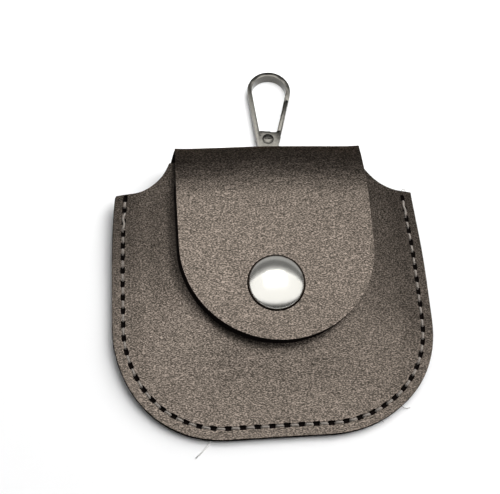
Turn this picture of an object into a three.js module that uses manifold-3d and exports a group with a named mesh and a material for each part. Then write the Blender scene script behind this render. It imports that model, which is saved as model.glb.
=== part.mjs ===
// A small clip-on belt pouch of thin coated leather, lying on its back.
// The back panel folds over the top as the flap, the front panel is sewn to it round the sides and bottom,
// a press snap closes the flap, and a snap hook hangs in a leather tab behind the fold.
// Sizes are millimetres. X runs across the pouch, Y up it towards the hook, and Z up off the table.

import * as THREE from 'three';
import { mergeVertices } from 'three/addons/utils/BufferGeometryUtils.js';
import Module from 'manifold-3d';

const wasm = await Module();
wasm.setup();

// Driving sizes. Heights along Y count from the line of the shoulders.
const LEATHER = 1.2;
const GAP = 0.3;
const BODY = { halfWidth: 41.7, sideBow: 1.7, bottom: -66.1, cornerRadius: 29.5, shoulder: -0.1, seam: 4 };
const SCOOP = { centreX: 37, radius: 11.5 };
const MOUTH_Y = 8.5;
// The back panel lies flat from the bottom to LIFT.start, and the tab and hook eye raise it from there.
const LIFT = { height: 5.0, start: -32, end: 4, droop: 0.4 };
// The front panel bulges over the pocket, fullest at BULGE.peak.
const BULGE = { height: 6.5, peak: -20, mouthShare: 0.74, power: 2.5 };
const FOLD = { y: 12.0, half: 25.0, ears: 0.5, shiftX: 0.75, lowerHeight: 4.6, upperReach: 12 };
const FLAP = { half: 25.3, lean: 1.6, endY: -18.2, top: 14.3, drop: 4.6, power: 2, droop: 1.6 };
const SNAP = { x: 0.9, y: -28.7, capRadius: 7.5, capFoot: 7.3, capHeight: 2.7, rim: 0.5, shank: 1.8 };
const SNAP_INNER = { flange: 5.0, insideFlange: 4.0, plate: 0.6, stud: 1.4 };
const TAB = { leather: 1.0, width: 7.0, tail: -20.0, split: -10.0, holeRadius: 1.3 };
const HOOK = { eyeX: 1.0, eyeY: 6.2, lean: 3.8, loopY: 27.8, loopRadius: 6.1, taper: 10.5, bar: 1.25 };
const HOOK_HEIGHT = 3.2;
const BASE = { top: 14.6, bottom: 6.2, rivetY: 12.1, rivetRadius: 1.3 };
const EYE = { half: 5.4, hole: 3.9, bar: 1.5, shoulder: 3.0, holeTop: 4.6, corner: 2.0, neck: 1.75 };
const GATE = { foot: 14.4, noseX: 5.1, noseY: 24.9, noseSlope: 35, cut: 0.35 };
const TONGUE = { thickness: 1.2, ear: 2.4, inner: 2.65, outer: 3.4, root: 1.0 };
const TABLE_GAP = 0.1;
// How far a cutting solid runs past what it cuts.
const PAST = 1;

const coatedLeather = new THREE.MeshStandardMaterial({ color: 0x8b8378, roughness: 0.45, metalness: 0.35 });
const darkLeather = new THREE.MeshStandardMaterial({ color: 0x2b2927, roughness: 0.8, metalness: 0 });
const polishedNickel = new THREE.MeshStandardMaterial({ color: 0xc9c8c4, roughness: 0.15, metalness: 1 });
const gunmetal = new THREE.MeshStandardMaterial({ color: 0x7d7b78, roughness: 0.3, metalness: 1 });

const radians = THREE.MathUtils.degToRad;
const lerp = THREE.MathUtils.lerp;

// Curves that give the outline and the heights of the leather

// Half the body's width at a height: a long bow down the side, then the round bottom corner.
function bodyHalf(y) {
  const cornerY = BODY.bottom + BODY.cornerRadius;
  if (y >= cornerY) {
    const rise = Math.min(1, (y - cornerY) / (BODY.shoulder - cornerY));
    return BODY.halfWidth - BODY.sideBow * rise ** 2;
  }
  const reach = Math.sqrt(BODY.cornerRadius ** 2 - (cornerY - y) ** 2);
  return BODY.halfWidth - BODY.cornerRadius + reach;
}

function backHeight(x, y) {
  const rise = THREE.MathUtils.smoothstep(y, LIFT.start, LIFT.end);
  return LIFT.height * rise * (1 - LIFT.droop * (x / BODY.halfWidth) ** 2);
}

function bulgeAlong(y) {
  if (y > BULGE.peak) {
    return 1 - (1 - BULGE.mouthShare) * ((y - BULGE.peak) / (MOUTH_Y - BULGE.peak)) ** 2;
  }
  const run = (BULGE.peak - y) / (BULGE.peak - BODY.bottom - BODY.seam);
  return 1 - Math.min(1, run) ** BULGE.power;
}

// The front panel's inner side: flat on the back panel in the seam, bulging between the seams.
function frontHeight(x, y) {
  const half = bodyHalf(y) - BODY.seam;
  const seamX = Math.max(half, Math.abs(x));
  const across = Math.max(0, 1 - (x / half) ** 2);
  return backHeight(seamX, y) + LEATHER + GAP + BULGE.height * across * bulgeAlong(y);
}

function flapAxis(y) {
  return FOLD.shiftX + (FOLD.y - y) * Math.tan(radians(FLAP.lean));
}

function flapHeight(x, y) {
  const run = (FOLD.y - FOLD.upperReach - y) / (FOLD.y - FOLD.upperReach - FLAP.endY + FLAP.half);
  const across = (x - flapAxis(y)) / FLAP.half;
  return FLAP.top - FLAP.drop * Math.max(0, run) ** FLAP.power - FLAP.droop * across ** 2;
}

// Grids that the leather walls are made on

// The scooped shoulder from the neck out: a quarter circle, then a short level edge.
function scoopEdge(steps) {
  const scoopTop = BODY.shoulder + SCOOP.radius;
  const start = Math.asin((scoopTop - MOUTH_Y) / SCOOP.radius);
  const edge = [];
  for (let step = 0; step <= steps; step += 1) {
    const angle = lerp(start, Math.PI / 2, step / steps);
    edge.push({
      x: SCOOP.centreX - SCOOP.radius * Math.cos(angle),
      top: scoopTop - SCOOP.radius * Math.sin(angle),
    });
  }
  edge.push({ x: bodyHalf(BODY.shoulder), top: BODY.shoulder });
  return edge;
}

const NECK_STEPS = 4;
const SCOOP_STEPS = 6;

function bodyColumns() {
  const scoop = scoopEdge(SCOOP_STEPS);
  const half = [];
  for (let step = 1; step < NECK_STEPS; step += 1) {
    half.push({ x: (scoop[0].x * step) / NECK_STEPS, top: MOUTH_Y });
  }
  half.push(...scoop);
  const mirrored = half.map((column) => ({ x: -column.x, top: column.top })).reverse();
  return [...mirrored, { x: 0, top: MOUTH_Y }, ...half];
}

// Rows of points over the body: by angle round the bottom corners, level up the sides, then to the top edge.
function bodyRows(columns) {
  const cornerSteps = 8;
  const sideSteps = 5;
  const topSteps = 3;
  const cornerY = BODY.bottom + BODY.cornerRadius;
  const sideTop = BODY.shoulder - SCOOP.radius / 2;
  const levels = [];
  for (let step = 0; step < cornerSteps; step += 1) {
    levels.push(cornerY - BODY.cornerRadius * Math.cos((step / cornerSteps) * (Math.PI / 2)));
  }
  for (let step = 0; step <= sideSteps; step += 1) {
    levels.push(lerp(cornerY, sideTop, step / sideSteps));
  }
  const shoulderHalf = bodyHalf(BODY.shoulder);
  const place = (column, y) => ({ x: (column.x * bodyHalf(y)) / shoulderHalf, y });
  const rows = levels.map((y) => columns.map((column) => place(column, y)));
  for (let step = 1; step <= topSteps; step += 1) {
    rows.push(columns.map((column) => place(column, lerp(sideTop, column.top, step / topSteps))));
  }
  return rows;
}

function gridCells(rows) {
  const cells = [];
  for (let row = 0; row + 1 < rows.length; row += 1) {
    for (let column = 0; column + 1 < rows[row].length; column += 1) {
      cells.push([
        rows[row][column],
        rows[row][column + 1],
        rows[row + 1][column + 1],
        rows[row + 1][column],
      ]);
    }
  }
  return cells;
}

// A closed wall from cells whose points each hold a lower and an upper place; open edges get a rim.
function wallGeometry(points, cells) {
  const count = points.length;
  const positions = [...points.map((point) => point.lower), ...points.map((point) => point.upper)];
  const index = [];
  const quad = (a, b, c, d) => index.push(a, b, c, a, c, d);
  const edges = new Set();
  for (const cell of cells) {
    cell.forEach((from, side) => edges.add(`${from} ${cell[(side + 1) % 4]}`));
  }
  for (const cell of cells) {
    const [a, b, c, d] = cell;
    quad(a, d, c, b);
    quad(a + count, b + count, c + count, d + count);
    cell.forEach((from, side) => {
      const to = cell[(side + 1) % 4];
      if (!edges.has(`${to} ${from}`)) {
        quad(from, to, to + count, from + count);
      }
    });
  }
  const geometry = new THREE.BufferGeometry();
  geometry.setAttribute('position', new THREE.Float32BufferAttribute(positions.flat(), 3));
  geometry.setIndex(index);
  return geometry;
}

// Joining and cutting closed meshes

function solidOf(geometry) {
  const bare = geometry.clone();
  bare.deleteAttribute('normal');
  bare.deleteAttribute('uv');
  const merged = mergeVertices(bare, 1e-4);
  return new wasm.Manifold(
    new wasm.Mesh({
      numProp: 3,
      vertProperties: new Float32Array(merged.attributes.position.array),
      triVerts: new Uint32Array(merged.index.array),
    }),
  );
}

function geometryOf(solid) {
  const mesh = solid.getMesh();
  const geometry = new THREE.BufferGeometry();
  geometry.setAttribute('position', new THREE.BufferAttribute(mesh.vertProperties, 3));
  geometry.setIndex(new THREE.BufferAttribute(mesh.triVerts, 1));
  return geometry;
}

function extruded(shape, low, high, curveSegments = 10) {
  const options = { depth: high - low, bevelEnabled: false, curveSegments };
  return new THREE.ExtrudeGeometry(shape, options).translate(0, 0, low);
}

function polygon(corners) {
  return new THREE.Shape(corners.map(([x, y]) => new THREE.Vector2(x, y)));
}

function circle(x, y, radius) {
  const shape = new THREE.Shape();
  shape.absarc(x, y, radius, 0, 2 * Math.PI);
  return shape;
}

function part(name, geometry, material) {
  const mesh = new THREE.Mesh(geometry, material);
  mesh.name = name;
  return mesh;
}

// Leather panels

// One row of the fold: an ellipse quarter under, then a longer one over, with the wall measured inwards.
function foldRow(angle, neckHalf) {
  const row = [];
  const under = angle < 0;
  const share = under ? 1 + angle / (Math.PI / 2) : angle / (Math.PI / 2);
  const half = under ? lerp(neckHalf, FOLD.half, share) : lerp(FOLD.half, FLAP.half, share);
  for (let step = -NECK_STEPS; step <= NECK_STEPS; step += 1) {
    const across = step / NECK_STEPS;
    const foldY = FOLD.y + FOLD.ears * across ** 4;
    const reach = under ? foldY - MOUTH_Y : FOLD.upperReach + foldY - FOLD.y;
    const y = foldY - reach * (1 - Math.cos(angle));
    const axis = under ? FOLD.shiftX * share : flapAxis(y);
    const x = axis + across * half;
    const middle = backHeight(across * neckHalf, LIFT.end) + FOLD.lowerHeight;
    const rise = under ? FOLD.lowerHeight : flapHeight(x, foldY - reach) - middle;
    const inward = new THREE.Vector2(-Math.cos(angle) / reach, -Math.sin(angle) / rise).setLength(LEATHER);
    const z = middle + rise * Math.sin(angle);
    row.push({ lower: [x, y, z], upper: [x, y + inward.x, z + inward.y] });
  }
  return row;
}

// One row of the flap below the fold, level across and as wide as its outline there.
function flapRow(y) {
  const drop = Math.max(0, FLAP.endY - y);
  const half = Math.sqrt(FLAP.half ** 2 - drop ** 2);
  const row = [];
  for (let step = -NECK_STEPS; step <= NECK_STEPS; step += 1) {
    const x = flapAxis(y) + (half * step) / NECK_STEPS;
    const z = flapHeight(x, y);
    row.push({ lower: [x, y, z], upper: [x, y, z - LEATHER] });
  }
  return row;
}

function flapRows(neckHalf) {
  const underSteps = 5;
  const overSteps = 7;
  const runSteps = 5;
  const endSteps = 8;
  const endAngle = radians(84);
  const rows = [];
  for (let step = 1; step <= underSteps; step += 1) {
    rows.push(foldRow((step / underSteps - 1) * (Math.PI / 2), neckHalf));
  }
  for (let step = 1; step <= overSteps; step += 1) {
    rows.push(foldRow((step / overSteps) * (Math.PI / 2), neckHalf));
  }
  for (let step = 1; step <= runSteps; step += 1) {
    rows.push(flapRow(lerp(FOLD.y - FOLD.upperReach, FLAP.endY, step / runSteps)));
  }
  for (let step = 1; step <= endSteps; step += 1) {
    rows.push(flapRow(FLAP.endY - FLAP.half * Math.sin((step / endSteps) * endAngle)));
  }
  return rows;
}

function backAndFlapGeometry() {
  const columns = bodyColumns();
  const bodyPoints = bodyRows(columns).map((row) =>
    row.map(({ x, y }) => {
      const z = backHeight(x, y);
      return { lower: [x, y, z], upper: [x, y, z + LEATHER] };
    }),
  );
  const middle = (columns.length - 1) / 2;
  const neckHalf = columns[middle + NECK_STEPS].x;
  const points = [];
  const numbered = (row) => row.map((point) => points.push(point) - 1);
  const bodyNumbers = bodyPoints.map(numbered);
  const neckNumbers = bodyNumbers.at(-1).slice(middle - NECK_STEPS, middle + NECK_STEPS + 1);
  const flapNumbers = [neckNumbers, ...flapRows(neckHalf).map(numbered)];
  return wallGeometry(points, [...gridCells(bodyNumbers), ...gridCells(flapNumbers)]);
}

function frontPanelGeometry() {
  const points = [];
  const numbers = bodyRows(bodyColumns()).map((row) =>
    row.map(({ x, y }) => {
      const z = frontHeight(x, y);
      return points.push({ lower: [x, y, z], upper: [x, y, z + LEATHER] }) - 1;
    }),
  );
  return wallGeometry(points, gridCells(numbers));
}

// Press snap, on an axis square to the flap and the front panel as near as both allow

const slopeOf = (height) => height(SNAP.x, SNAP.y + 0.5) - height(SNAP.x, SNAP.y - 0.5);
const snapTilt = Math.atan((slopeOf(flapHeight) + slopeOf(frontHeight)) / 2);
const frontTop = frontHeight(SNAP.x, SNAP.y) + LEATHER - flapHeight(SNAP.x, SNAP.y);

function lathe(profile) {
  const points = profile.map(([radius, height]) => new THREE.Vector2(radius, height));
  return new THREE.LatheGeometry(points, 28).rotateX(Math.PI / 2);
}

function snapCapGeometry() {
  const shankEnd = -LEATHER - GAP - SNAP_INNER.plate / 2;
  const profile = [
    [0, shankEnd],
    [SNAP.shank, shankEnd],
    [SNAP.shank, GAP],
    [SNAP.capFoot, GAP],
  ];
  const domeSteps = 7;
  for (let step = 0; step <= domeSteps; step += 1) {
    const angle = (step / domeSteps) * (Math.PI / 2);
    const rise = (SNAP.capHeight - SNAP.rim) * Math.sin(angle);
    profile.push([SNAP.capRadius * Math.cos(angle), GAP + SNAP.rim + rise]);
  }
  profile.at(-1)[0] = 0;
  return lathe(profile);
}

function snapSocketGeometry() {
  const top = -LEATHER - GAP;
  const inner = SNAP.shank + GAP;
  return lathe([
    [inner, top - SNAP_INNER.plate],
    [SNAP_INNER.flange, top - SNAP_INNER.plate],
    [SNAP_INNER.flange, top],
    [inner, top],
    [inner, top - SNAP_INNER.plate],
  ]);
}

function snapStudGeometry() {
  const seat = frontTop + GAP;
  const inside = frontTop - LEATHER - GAP;
  const studTop = -LEATHER - GAP - SNAP_INNER.plate / 2 - GAP;
  return lathe([
    [0, inside - SNAP_INNER.plate],
    [SNAP_INNER.insideFlange, inside - SNAP_INNER.plate],
    [SNAP_INNER.insideFlange, inside],
    [SNAP_INNER.stud, inside],
    [SNAP_INNER.stud, seat],
    [SNAP_INNER.flange, seat],
    [SNAP_INNER.flange, seat + SNAP_INNER.plate],
    [SNAP_INNER.stud, seat + SNAP_INNER.plate],
    [SNAP_INNER.stud, studTop],
    [0, studTop],
  ]);
}

function onSnapAxis(object) {
  object.position.set(SNAP.x, SNAP.y, flapHeight(SNAP.x, SNAP.y));
  object.rotation.x = snapTilt;
  object.updateMatrix();
  return object;
}

// Cut only through the wall whose middle lies at the given depth on the snap's axis.
function drilled(geometry, radius, depth) {
  const cutter = new THREE.CylinderGeometry(radius, radius, 2 * LEATHER, 20);
  cutter.rotateX(Math.PI / 2).translate(0, 0, depth);
  cutter.applyMatrix4(onSnapAxis(new THREE.Object3D()).matrix);
  return geometryOf(solidOf(geometry).subtract(solidOf(cutter)));
}

// Snap hook, about the middle of its eye bar, flat in XY

const eyeZ = TABLE_GAP + TAB.holeRadius + TAB.leather;
const hookLow = TABLE_GAP;
const hookHigh = TABLE_GAP + HOOK_HEIGHT;
const hookMiddle = (hookLow + hookHigh) / 2;

// A round loop with straight sides that narrow down to a level foot.
function loopShape(radius, foot) {
  const taper = radians(HOOK.taper);
  const tangentX = radius * Math.cos(taper);
  const tangentY = HOOK.loopY - radius * Math.sin(taper);
  const footX = tangentX - (tangentY - foot) * Math.tan(taper);
  const shape = new THREE.Shape();
  shape.moveTo(-footX, foot);
  shape.lineTo(footX, foot);
  shape.absarc(0, HOOK.loopY, radius, -taper, Math.PI + taper);
  shape.closePath();
  return shape;
}

function eyeShape() {
  const low = -EYE.bar / 2;
  const shape = new THREE.Shape();
  shape.absarc(EYE.half - EYE.corner, low + EYE.corner, EYE.corner, -Math.PI / 2, 0);
  shape.lineTo(EYE.half, EYE.shoulder);
  shape.lineTo(EYE.neck, BASE.bottom + EYE.neck);
  shape.lineTo(-EYE.neck, BASE.bottom + EYE.neck);
  shape.lineTo(-EYE.half, EYE.shoulder);
  shape.absarc(-EYE.half + EYE.corner, low + EYE.corner, EYE.corner, Math.PI, 1.5 * Math.PI);
  shape.closePath();
  shape.holes.push(
    polygon([
      [-EYE.hole, -low],
      [EYE.hole, -low],
      [EYE.hole, EYE.shoulder],
      [EYE.neck, EYE.holeTop],
      [-EYE.neck, EYE.holeTop],
      [-EYE.hole, EYE.shoulder],
    ]),
  );
  return shape;
}

// The stretch of the loop that the gate closes, shortened at both ends by the given gap.
function gateStretch(gap) {
  const slope = Math.tan(radians(GATE.noseSlope));
  const far = HOOK.loopRadius + PAST;
  const near = BASE.rivetRadius / 2;
  const noseY = GATE.noseY - gap / Math.cos(radians(GATE.noseSlope));
  return polygon([
    [near, GATE.foot + gap],
    [far, GATE.foot + gap],
    [far, noseY - (far - GATE.noseX) * slope],
    [near, noseY + (GATE.noseX - near) * slope],
  ]);
}

function hookRing(low, high) {
  const shape = loopShape(HOOK.loopRadius, BASE.bottom);
  shape.holes.push(loopShape(HOOK.loopRadius - HOOK.bar, BASE.top));
  return solidOf(extruded(shape, low, high, 20));
}

function hookFrameGeometry() {
  const eye = extruded(eyeShape(), eyeZ - EYE.bar / 2, eyeZ + EYE.bar / 2);
  const slotHalf = TONGUE.thickness / 2 + GAP;
  const slotReach = TONGUE.ear + GAP;
  const slotSide = polygon([
    [0, BASE.rivetY - slotReach],
    [HOOK.loopRadius, BASE.rivetY - slotReach],
    [HOOK.loopRadius, GATE.foot + TONGUE.root],
    [0, GATE.foot + TONGUE.root],
  ]);
  const slotRound = circle(0, BASE.rivetY, slotReach);
  const rivetHole = circle(0, BASE.rivetY, BASE.rivetRadius + GAP);
  const frame = hookRing(hookLow, hookHigh)
    .subtract(solidOf(extruded(gateStretch(0), hookLow - PAST, hookHigh + PAST)))
    .subtract(solidOf(extruded(slotSide, hookMiddle - slotHalf, hookMiddle + slotHalf)))
    .subtract(solidOf(extruded(slotRound, hookMiddle - slotHalf, hookMiddle + slotHalf)))
    .subtract(solidOf(extruded(rivetHole, hookLow - PAST, hookHigh + PAST)))
    .add(solidOf(eye));
  return geometryOf(frame);
}

function hookGateGeometry() {
  const bar = hookRing(hookLow, hookHigh).intersect(
    solidOf(extruded(gateStretch(GATE.cut), hookLow - PAST, hookHigh + PAST)),
  );
  const low = hookMiddle - TONGUE.thickness / 2;
  const high = hookMiddle + TONGUE.thickness / 2;
  const arm = polygon([
    [0, BASE.rivetY],
    [TONGUE.ear, BASE.rivetY],
    [TONGUE.outer, GATE.foot + GATE.cut],
    [TONGUE.outer, GATE.foot + TONGUE.root],
    [TONGUE.inner, GATE.foot + TONGUE.root],
  ]);
  const ear = circle(0, BASE.rivetY, TONGUE.ear);
  const rivetHole = circle(0, BASE.rivetY, BASE.rivetRadius + GAP);
  const gate = bar
    .add(solidOf(extruded(arm, low, high)))
    .add(solidOf(extruded(ear, low, high)))
    .subtract(solidOf(extruded(rivetHole, hookLow - PAST, hookHigh + PAST)));
  return geometryOf(gate);
}

function gateRivetGeometry() {
  return extruded(circle(0, BASE.rivetY, BASE.rivetRadius), hookLow, hookHigh);
}

// The tab: two tails pressed together under the back panel, parting into a loop round the eye bar.
function hookTabGeometry() {
  const upper = (y) => backHeight(0, HOOK.eyeY + y) - GAP;
  const outer = TAB.holeRadius + TAB.leather;
  const shape = new THREE.Shape();
  const tailSteps = 5;
  shape.moveTo(TAB.tail, upper(TAB.tail));
  for (let step = 0; step <= tailSteps; step += 1) {
    const y = lerp(TAB.tail, TAB.split, step / tailSteps);
    shape.lineTo(y, upper(y) - 2 * TAB.leather);
  }
  shape.absarc(0, eyeZ, outer, -Math.PI / 2, Math.PI / 2);
  for (let step = 0; step < tailSteps; step += 1) {
    const y = lerp(TAB.split / 2, TAB.tail, step / tailSteps);
    shape.lineTo(y, upper(y));
  }
  shape.closePath();
  const hole = new THREE.Path();
  hole.absarc(0, eyeZ, TAB.holeRadius, -Math.PI / 2, Math.PI / 2);
  hole.lineTo(TAB.split + TAB.leather, upper(TAB.split) - TAB.leather);
  hole.closePath();
  shape.holes.push(hole);
  const across = new THREE.Matrix4().makeBasis(
    new THREE.Vector3(0, 1, 0),
    new THREE.Vector3(0, 0, 1),
    new THREE.Vector3(1, 0, 0),
  );
  return extruded(shape, -TAB.width / 2, TAB.width / 2).applyMatrix4(across);
}

// Assembly

const flapMiddle = -LEATHER / 2;
const frontMiddle = frontTop - LEATHER / 2;
const pouch = new THREE.Group();
const backAndFlap = drilled(backAndFlapGeometry(), SNAP.shank + GAP, flapMiddle);
const frontPanel = drilled(frontPanelGeometry(), SNAP_INNER.stud + GAP, frontMiddle);
pouch.add(part('back_and_flap', backAndFlap, coatedLeather));
pouch.add(part('front_panel', frontPanel, coatedLeather));

const snap = onSnapAxis(new THREE.Group());
snap.add(part('snap_cap', snapCapGeometry(), polishedNickel));
snap.add(part('snap_socket', snapSocketGeometry(), polishedNickel));
snap.add(part('snap_stud', snapStudGeometry(), polishedNickel));
pouch.add(snap);

const hook = new THREE.Group();
hook.position.set(HOOK.eyeX, HOOK.eyeY, 0);
hook.rotation.z = -radians(HOOK.lean);
hook.add(part('hook_tab', hookTabGeometry(), darkLeather));
hook.add(part('hook_frame', hookFrameGeometry(), gunmetal));
hook.add(part('hook_gate', hookGateGeometry(), gunmetal));
hook.add(part('gate_rivet', gateRivetGeometry(), gunmetal));
pouch.add(hook);

// The origin is on the table, under the middle of the pouch and hook together.
const extent = new THREE.Box3().setFromObject(pouch, true);
pouch.position.y = -(extent.min.y + extent.max.y) / 2;

export default pouch;
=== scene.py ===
import math

import bmesh
import bpy
from mathutils import Matrix, Vector


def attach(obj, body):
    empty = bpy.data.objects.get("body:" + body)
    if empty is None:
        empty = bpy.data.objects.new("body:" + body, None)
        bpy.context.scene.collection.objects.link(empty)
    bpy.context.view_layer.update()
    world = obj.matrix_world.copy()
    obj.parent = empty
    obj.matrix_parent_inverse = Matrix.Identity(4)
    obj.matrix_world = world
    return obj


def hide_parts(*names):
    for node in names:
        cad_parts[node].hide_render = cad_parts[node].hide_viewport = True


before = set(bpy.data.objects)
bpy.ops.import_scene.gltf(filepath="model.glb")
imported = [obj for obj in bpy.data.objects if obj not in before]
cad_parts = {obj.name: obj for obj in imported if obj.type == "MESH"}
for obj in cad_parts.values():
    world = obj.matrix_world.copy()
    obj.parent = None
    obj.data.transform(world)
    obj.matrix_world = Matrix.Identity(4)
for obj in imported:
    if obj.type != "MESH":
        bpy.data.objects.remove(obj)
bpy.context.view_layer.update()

# Sizes are millimetres. Heights along Y count from the line of the shoulders, as in the part's source.
# A pair of numbers is a stretch: where something sets in, and where it is complete. Points within WELD are
# one point, and sizes within SAME are alike.
MM = 0.001
WELD = 0.002
SAME = 0.01
SHOULDER_Y = 13.0313
LEATHER = 1.2
GAP = 0.3

# The outline of the two body panels
BODY_HALF = 41.7
SIDE_BOW = 1.7
BOTTOM = -66.1
CORNER_RADIUS = 29.5
CORNER_Y = BOTTOM + CORNER_RADIUS
SHOULDER = 0.6
SHOULDER_HALF = BODY_HALF - SIDE_BOW
SCOOP_X = 36.3
SCOOP_RADIUS = 10.8
SCOOP_TOP = SHOULDER + SCOOP_RADIUS
MOUTH_Y = 8.5
NECK_HALF = SCOOP_X - math.sqrt(SCOOP_RADIUS ** 2 - (SCOOP_TOP - MOUTH_Y) ** 2)

# The seam with its pared walls, and how the filling and the hook's tab raise it
SEAM_FLAT = 3.0
SEAM_GAP = 0.08
SKIVED = 0.6
SKIVED_IN = (SEAM_FLAT, 10.0)
LIFT_HEIGHT = 6.2
LIFT_START = -34.0
LIFT_END = 4.0
LIFT_DROOP = 0.75
SEAM_RISE = 2.4
SEAM_RISE_Y = -34.0
SEAM_RISE_LOW = 0.45
SEAM_RISE_TOP = 0.7
SEAM_RISE_END = 2.0
BORDER_CURL = 0.9
BORDER_WIDTH = 9.0
CURL_LOW = 0.55
CURL_Y = (-52.0, -34.0)
BACK_SINK = 18.0

# The bulge of the front panel, its step along the flap, and the flap's shadow that is painted darker into its
# film
BULGE_HEIGHT = 5.2
BULGE_PEAK = -18.0
BULGE_MOUTH = 0.25
BULGE_POWER = 1.6
BULGE_BOX = 2.4
BULGE_ROUND = 1.35
STEP_DEPTH = 0.4
STEP_WIDTH = 3.2
STEP_UNDER = 0.5
STEP_LOW = (-40.0, -24.0)
STEP_HIGH = (-2.0, 6.0)
STEP_INSET = (3.0, 11.0)
# The flap's shadow, painted as darker film beside its left and lower edge: its darkness at most, its width
# beside the left edge and beside the lower edge, how far round to the left it is full, and where the wide
# band narrows again towards the fold
PAINTED_SHADOW_DARK = 0.85
PAINTED_SHADOW_LEFT = 3.8
PAINTED_SHADOW_LOW = 1.2
PAINTED_SHADOW_TURN = 0.95
PAINTED_SHADOW_HIGH = (-16.0, 4.0)

# The fold and the flap
FOLD_Y = 12.0
FOLD_HALF = 25.0
FOLD_EARS = 0.5
FOLD_SHIFT = 0.75
FOLD_LOWER = 3.7
FOLD_SLOPE = math.radians(19)
FOLD_SWEEP = 45.0
FOLD_BEND = 2.0
FOLD_REACH = FOLD_SWEEP * math.sin(FOLD_SLOPE) + FOLD_BEND * (1 - math.sin(FOLD_SLOPE))
FOLD_FALL = FOLD_SWEEP * (1 - math.cos(FOLD_SLOPE)) + FOLD_BEND * math.cos(FOLD_SLOPE)
FLAP_HALF = 25.3
FLAP_LEAN = math.tan(math.radians(1.6))
FLAP_END = -18.2
FLAP_TOP = 14.5
FLAP_DROP = 3.7
FLAP_POWER = 1.3
FLAP_DROOP = 0.5
FLAP_RUN = FOLD_Y - FOLD_REACH - FLAP_END + FLAP_HALF

# The knife's slant along the flap's and the front panel's edges
FLAP_SLANT = 0.9
FLAP_SLANT_HIGH = (-3.0, 4.0)
FLAP_SLANT_NEAR = 0.8
DIAGONAL = 0.7
BODY_SLANT = 0.3
BODY_SLANT_LEFT = (20.0, 36.0)
BODY_SLANT_HIGH = (-14.0, -3.0)

# The unevenness of the hand-cut body: a sway of the whole, a tilt of the bottom and of the shoulders, a full
# lower right corner, a wide right side and a deep left scoop. It ends at the mouth, where the fold begins.
MOUTH_FADE = (4.0, MOUTH_Y)
SWAY = 0.45
SWAY_LENGTH = 80.0
SWAY_START = -20.0
SWAY_FADE = (-2.0, MOUTH_Y)
BOTTOM_TILT = 0.028
BOTTOM_TILT_DOWN = (40.0, 66.0)
SHOULDER_TILT = 0.0075
SHOULDER_TILT_Y = (-15.0, -2.0)
FULL_OUT = 0.65
FULL_LOW = 0.7
FULL_X = (8.0, 30.0)
FULL_DOWN = (36.0, 56.0)
WIDE = 0.4
WIDE_X = (10.0, 36.0)
WIDE_Y = (-34.0, -14.0)
DEEP = 0.5
DEEP_LEFT = (24.0, 28.0)
DEEP_LEFT_END = (32.0, 38.0)
DEEP_Y = (-12.0, 2.0)

# Where the snap and the hook are
SNAP_X = 0.9
SNAP_Y = -28.7
HOOK_X = 1.0
HOOK_Y = 6.2
HOOK_LEAN = math.radians(-3.8)
HOOK_LOW = 0.1
HOOK_HIGH = 3.3
RIVET_Y = 12.1


def smoothstep(value, low, high):
    share = min(1.0, max(0.0, (value - low) / (high - low)))
    return share * share * (3 - 2 * share)


def blend(low, high, share):
    return low + (high - low) * share


def place(x, y, z):
    """A point in millimetres from the shoulder line, in the frame's metres."""
    return Vector((x, y + SHOULDER_Y, z)) * MM


# Curves of the leather: those of the part's source, eased where the filling rounds the panels


def body_half(y):
    """Half the body's width at a level: bowed sides over round corners."""
    if y >= CORNER_Y:
        rise = min(1.0, (y - CORNER_Y) / (SHOULDER - CORNER_Y))
        return BODY_HALF - SIDE_BOW * rise ** 2
    return BODY_HALF - CORNER_RADIUS + math.sqrt(max(0.0, CORNER_RADIUS ** 2 - (CORNER_Y - y) ** 2))


def inset(x, y):
    """How far inside the sides and the round bottom of a body panel a point is."""
    beside = abs(x) - (BODY_HALF - CORNER_RADIUS)
    if y >= CORNER_Y:
        return body_half(y) - abs(x)
    if beside <= 0:
        return y - BOTTOM
    return CORNER_RADIUS - math.hypot(beside, CORNER_Y - y)


def wall_share(x, y):
    """The share of the leather's thickness, which is pared down along the seam."""
    return blend(SKIVED, 1.0, smoothstep(inset(x, y), *SKIVED_IN))


def seam_rise(y):
    """How high the filling lifts the seam off the table."""
    below = blend(SEAM_RISE_LOW, 1.0, smoothstep(y, BOTTOM, SEAM_RISE_Y))
    return SEAM_RISE * below * blend(1.0, SEAM_RISE_TOP, smoothstep(y, SEAM_RISE_Y, SEAM_RISE_END))


def seam_plane(x, y):
    """The surface that the two panels part from: raised over the hook's tab, its border curling down."""
    lift = LIFT_HEIGHT * smoothstep(y, LIFT_START, LIFT_END) * (1 - LIFT_DROOP * (x / BODY_HALF) ** 2)
    border = max(0.0, 1 - inset(x, y) / BORDER_WIDTH)
    return lift + seam_rise(y) - BORDER_CURL * blend(CURL_LOW, 1.0, smoothstep(y, *CURL_Y)) * border ** 2


def back_height(x, y):
    """The back panel's outer side, which sinks to the table inside the seam."""
    return seam_plane(x, y) - seam_rise(y) * smoothstep(inset(x, y), SEAM_FLAT, BACK_SINK)


def bulge_along(y):
    """The share of the bulge's full height at a level."""
    if y > BULGE_PEAK:
        return 1 - (1 - BULGE_MOUTH) * ((y - BULGE_PEAK) / (MOUTH_Y - BULGE_PEAK)) ** 2
    run = min(1.0, (BULGE_PEAK - y) / (BULGE_PEAK - BOTTOM - SEAM_FLAT))
    return (1 - run ** BULGE_POWER) ** 2


def flap_axis(y):
    """The middle of the flap, which leans to the right towards its end."""
    return FOLD_SHIFT + (FOLD_Y - y) * FLAP_LEAN


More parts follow.
